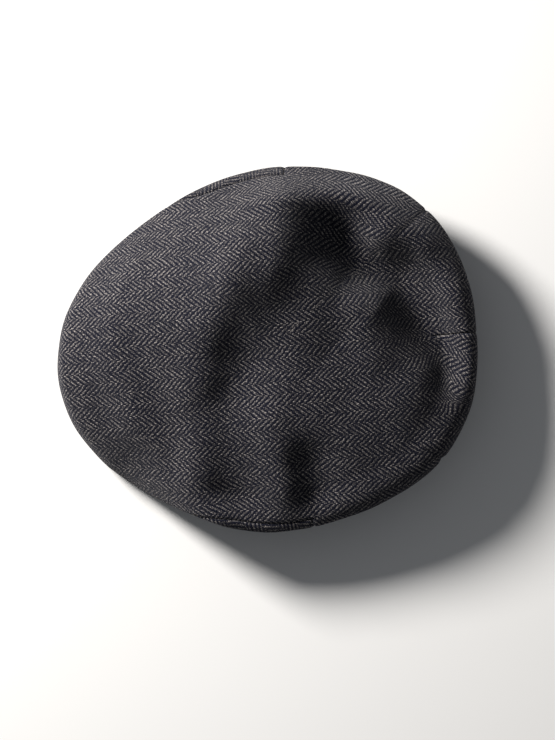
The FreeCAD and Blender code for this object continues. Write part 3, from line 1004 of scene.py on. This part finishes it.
def weave(u, v, end_spacing, pick_spacing, repeat, over, turn_back=None):
    """Crossing yarns: 1 where the end yarn is on top, the top yarn's height, and the end's number."""
    end = (u / end_spacing).op("FLOOR")
    end_place = (u / end_spacing).op("FRACT")
    pick = (v / pick_spacing).op("FLOOR")
    pick_place = (v / pick_spacing).op("FRACT")
    count = pick + end
    if turn_back is not None:
        count = count + turn_back * (repeat / 2)
    order = (count / repeat).op("FRACT") * repeat
    end_up = order.op("LESS_THAN", over - 0.5)
    end_float = ((order + pick_place) / over).op("FRACT")
    pick_float = ((order + end_place) / max(repeat - over, 1)).op("FRACT")
    end_arch = (end_float * math.pi).op("SINE").op("POWER", FLOAT_ROUNDNESS)
    end_round = (end_place * math.pi).op("SINE") * end_arch
    pick_arch = (pick_float * math.pi).op("SINE").op("POWER", FLOAT_ROUNDNESS)
    pick_round = (pick_place * math.pi).op("SINE") * pick_arch
    height = end_round * end_up + pick_round * (end_up * -1.0 + 1.0)
    return end_up, height, end


def herringbone():
    """Two-and-two herringbone: light ends, dark picks, the diagonal turning back every half repeat."""
    material, tree, shader = new_material("herringbone_wool", 0.95, 0.10, 0.4, WOOL_SHEEN_TINT, 0.12)
    vector, u, v = cloth_fields(tree)
    # the yarns wander a little
    u = u + noise(tree, vector, 0.06) * 2.0 + noise(tree, vector, 0.7, 1.0) * 0.55
    v = v + noise(tree, vector, 0.11) * 1.4 + noise(tree, shifted(tree, vector), 0.7, 1.0) * 0.7
    across = u.op("PINGPONG", HALF_REPEAT)
    falling = (u / (2 * HALF_REPEAT)).op("FRACT").op("GREATER_THAN", 0.5)
    end_up, height, end = weave(across, v, END_SPACING, PICK_SPACING, 4, 2, falling)
    fibre = noise(tree, vector, 1.9, 3.0)
    fleck = noise(tree, shifted(tree, vector), 0.8, 3.0)
    slub = noise(tree, combined(tree, end, v * 0.05), 0.9, 1.0)
    # light ends carry painted shade across their round, so they are brightest along their tops; they differ
    # from one to the next, and are broken by dark flecks
    light = end_up * (height * 0.7 + 0.3)
    light = light * (slub * 1.1 + 0.35)
    light = light * (fibre * 1.6 + 0.1) * (fleck * 4.6 - 1.85).op("MAXIMUM", 0.12)
    # a few pale fibres lie over both yarns
    light = light + (fibre - 0.58).op("MAXIMUM", 0.0) * 0.45
    colour = colour_mix(tree, light.op("MINIMUM", 1.0), DARK_YARN, LIGHT_YARN)
    tree.links.new(colour, shader.inputs["Base Color"])
    add_bump(tree, shader, height + fibre * 0.7, 0.35 * UNIT)
    return material


def woven(name, warp, weft, spacing, repeat, over, roughness, sheen, depth):
    """A plain, twill or satin cloth. Its pattern takes repeat yarns; an end passes over so many of them."""
    material, tree, shader = new_material(name, roughness, sheen)
    vector, u, v = cloth_fields(tree)
    u = u + noise(tree, vector, 0.08) * 1.0
    end_up, height = weave(u, v, spacing, spacing, repeat, over)[:2]
    wear = noise(tree, vector, 0.12, 4.0)
    # warp colour where ends lie on top, painted shade across each yarn's round that lightens its top, and
    # random wear
    light = end_up * 0.6 + height * 0.25 + (wear - 0.35) * 0.5
    light = light.op("MAXIMUM", 0.0).op("MINIMUM", 1.0)
    tree.links.new(colour_mix(tree, light, weft, warp), shader.inputs["Base Color"])
    add_bump(tree, shader, height + wear * 0.4, depth * UNIT)
    return material


def fibre_board():
    material, tree, shader = new_material("fibre_board", 0.8)
    vector = cloth_fields(tree)[0]
    grain = noise(tree, vector, 0.5, 5.0)
    tree.links.new(colour_mix(tree, grain, BOARD_DARK, BOARD_LIGHT), shader.inputs["Base Color"])
    add_bump(tree, shader, grain, 0.3 * UNIT)
    return material


def label_cloth():
    """A blank woven label: its coordinates run from -1 to 1, and a pale line runs round near the edge."""
    material, tree, shader = new_material("label_weave", 0.5, 0.2)
    u, v = cloth_fields(tree)[1:]
    edge_u = (u.op("ABSOLUTE") * -1.0 + 1.0) * MAKER_LABEL_HALF_LENGTH
    edge_v = (v.op("ABSOLUTE") * -1.0 + 1.0) * MAKER_LABEL_HALF_WIDTH
    border = (edge_u.op("MINIMUM", edge_v) - LABEL_BORDER_INSET).op("ABSOLUTE").op("LESS_THAN", 0.5)
    rib = (v * MAKER_LABEL_HALF_WIDTH * (math.pi / LABEL_RIB_SPACING)).op("SINE") * 0.5 + 0.5
    thread = (u * MAKER_LABEL_HALF_LENGTH * (math.pi / LABEL_THREAD_SPACING)).op("SINE") * 0.5 + 0.5
    ground = colour_mix(tree, rib * 0.6 + thread * 0.3, LABEL_DARK, LABEL_LIGHT)
    tree.links.new(colour_mix(tree, border, ground, LABEL_BORDER), shader.inputs["Base Color"])
    add_bump(tree, shader, rib + thread * 0.5 + border * 0.6, 0.12 * UNIT)
    return material


def twisted_thread():
    material, tree, shader = new_material("sewing_thread", 0.55, 0.2)
    place_in = tree.nodes.new("ShaderNodeTexCoord")
    ply = noise(tree, place_in.outputs["Object"], 4000.0, 2.0, "3D")
    tree.links.new(colour_mix(tree, ply, THREAD_DARK, THREAD_LIGHT), shader.inputs["Base Color"])
    add_bump(tree, shader, ply, 0.1 * UNIT)
    return material


def declare_sheets():
    """Each cut's width, length and flat area: taken from the distances run over the finished shapes."""
    for piece, width, length, area, held, rests_on in [
        (crown, 400, 440, 0.091, "stretched", ["sweatband", "peak_board_sheet"]),
        (strip_left, 70, 150, 0.0070, "stretched", ["sweatband"]),
        (strip_right, 70, 150, 0.0070, "stretched", ["sweatband"]),
        (satin_crown, 360, 400, 0.080, "draped", ["sweatband"]),
        (satin_left, 65, 110, 0.0048, "draped", ["sweatband"]),
        (satin_right, 65, 110, 0.0048, "draped", ["sweatband"]),
        (canvas_crown, 200, 130, 0.0175, "laid", ["crown_wool"]),
        (peak_under, 190, 90, 0.0078, "stretched", ["peak_board_sheet"]),
        (peak_upper, 190, 90, 0.0078, "stretched", ["peak_board_sheet"]),
        (cotton_band, 580, 25, None, "stretched", ["crown_wool"]),
        (stay_tape, 580, 13, None, "stretched", ["cotton_band"]),
        (band_binding, 580, 12, None, "folded", ["cotton_band"]),
        (woven_label, 66, 35, None, "laid", ["satin_crown"]),
        (care_ribbon, 26, 16, None, "laid", ["cotton_band"]),
        (size_ribbon, 12, 17, None, "laid", ["cotton_band"]),
    ]:
        width * 0.001
        length * 0.001
        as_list(rests_on)


declare_sheets()

# Which material goes on which pieces
SATIN = woven(
    "satin", warp=(0.050, 0.051, 0.060, 1), weft=(0.022, 0.022, 0.028, 1),
    spacing=0.30, repeat=5, over=4, roughness=0.36, sheen=0.15, depth=0.05,
)
COTTON_TWILL = woven(
    "cotton_twill", warp=(0.022, 0.022, 0.026, 1), weft=(0.009, 0.009, 0.011, 1),
    spacing=0.55, repeat=3, over=2, roughness=0.8, sheen=0.2, depth=0.18,
)
RIBBED_TAPE = woven(
    "ribbed_tape", warp=(0.018, 0.018, 0.020, 1), weft=(0.008, 0.008, 0.009, 1),
    spacing=0.8, repeat=2, over=1, roughness=0.7, sheen=0.1, depth=0.2,
)
CANVAS = woven(
    "canvas", warp=(0.62, 0.58, 0.50, 1), weft=(0.48, 0.44, 0.36, 1),
    spacing=0.7, repeat=2, over=1, roughness=0.9, sheen=0.0, depth=0.2,
)
RIBBON = woven(
    "ribbon", warp=(0.75, 0.74, 0.72, 1), weft=(0.62, 0.61, 0.60, 1),
    spacing=0.35, repeat=5, over=4, roughness=0.45, sheen=0.1, depth=0.05,
)
FINISHES = [
    (herringbone(), (crown, strip_left, strip_right, peak_under, peak_upper)),
    (SATIN, (satin_crown, satin_left, satin_right)),
    (COTTON_TWILL, (cotton_band,)),
    (RIBBED_TAPE, (stay_tape, band_binding)),
    (CANVAS, (canvas_crown,)),
    (RIBBON, (care_ribbon, size_ribbon)),
    (fibre_board(), (peak_stiffener,)),
    (label_cloth(), (woven_label,)),
    (twisted_thread(), (band_threads, label_threads)),
]
for finish, pieces in FINISHES:
    for piece in pieces:
        piece.data.materials.append(finish)


# ---------------------------------------------------------------- stage, light and camera

FLOOR_REACH = 3.0
FLOOR_COLOUR = (0.86, 0.86, 0.86, 1.0)
SKY_COLOUR = (0.93, 0.96, 1.0, 1.0)
SKY_STRENGTH = 0.14
WINDOW_PLACE = (-0.95, -1.02, 0.80)
WINDOW_TARGET = (0.0, 0.0, 0.04)
WINDOW_SIZE = 0.45
WINDOW_POWER = 60.0
WINDOW_COLOUR = (1.0, 0.97, 0.93)


def floor_paint():
    material, _, shader = new_material("pale_floor", 0.9)
    shader.inputs["Base Color"].default_value = FLOOR_COLOUR
    return material


def make_floor():
    mesh = bpy.data.meshes.new("floor")
    corners = [(x * FLOOR_REACH, y * FLOOR_REACH, 0.0) for x, y in ((-1, -1), (1, -1), (1, 1), (-1, 1))]
    mesh.from_pydata(corners, [], [(0, 1, 2, 3)])
    floor = bpy.data.objects.new("floor", mesh)
    bpy.context.scene.collection.objects.link(floor)
    mesh.materials.append(floor_paint())


def make_light():
    """Faint light from all round, and one window-like lamp from the front on the wearer's right."""
    world = bpy.data.worlds.new("studio")
    bpy.context.scene.world = world
    world.use_nodes = True
    world.node_tree.nodes["Background"].inputs["Color"].default_value = SKY_COLOUR
    world.node_tree.nodes["Background"].inputs["Strength"].default_value = SKY_STRENGTH
    data = bpy.data.lights.new("window", "AREA")
    data.shape = "DISK"
    data.size = WINDOW_SIZE
    data.energy = WINDOW_POWER
    data.color = WINDOW_COLOUR
    lamp = bpy.data.objects.new("window", data)
    lamp.location = WINDOW_PLACE
    bpy.context.scene.collection.objects.link(lamp)
    direction = np.array(WINDOW_TARGET) - np.array(lamp.location)
    lamp.rotation_euler = Vector(direction).to_track_quat("-Z", "Y").to_euler()


# Camera: straight above, turned so that the peak points to the picture's left. Places are in pattern
# millimetres; OUTLINE_HEIGHT is the height of the crown's widest line, where FRAME_HEIGHT is measured.
CAMERA_ROLL = math.radians(85.3)
CAMERA_AT = (14.2, -3.4)
CAMERA_DISTANCE = 3.0
CAMERA_SENSOR = 36.0
OUTLINE_HEIGHT = 38.0
FRAME_HEIGHT = 499.5


def make_camera():
    data = bpy.data.cameras.new("camera")
    data.sensor_width = CAMERA_SENSOR
    data.lens = data.sensor_width * CAMERA_DISTANCE / (FRAME_HEIGHT * UNIT)
    camera = bpy.data.objects.new("camera", data)
    camera.location = (CAMERA_AT[0] * UNIT, CAMERA_AT[1] * UNIT, CAMERA_DISTANCE + OUTLINE_HEIGHT * UNIT)
    camera.rotation_euler = (0.0, 0.0, CAMERA_ROLL)
    bpy.context.scene.collection.objects.link(camera)
    bpy.context.scene.camera = camera
    bpy.context.scene.view_settings.view_transform = "Standard"


make_floor()
make_light()
make_camera()
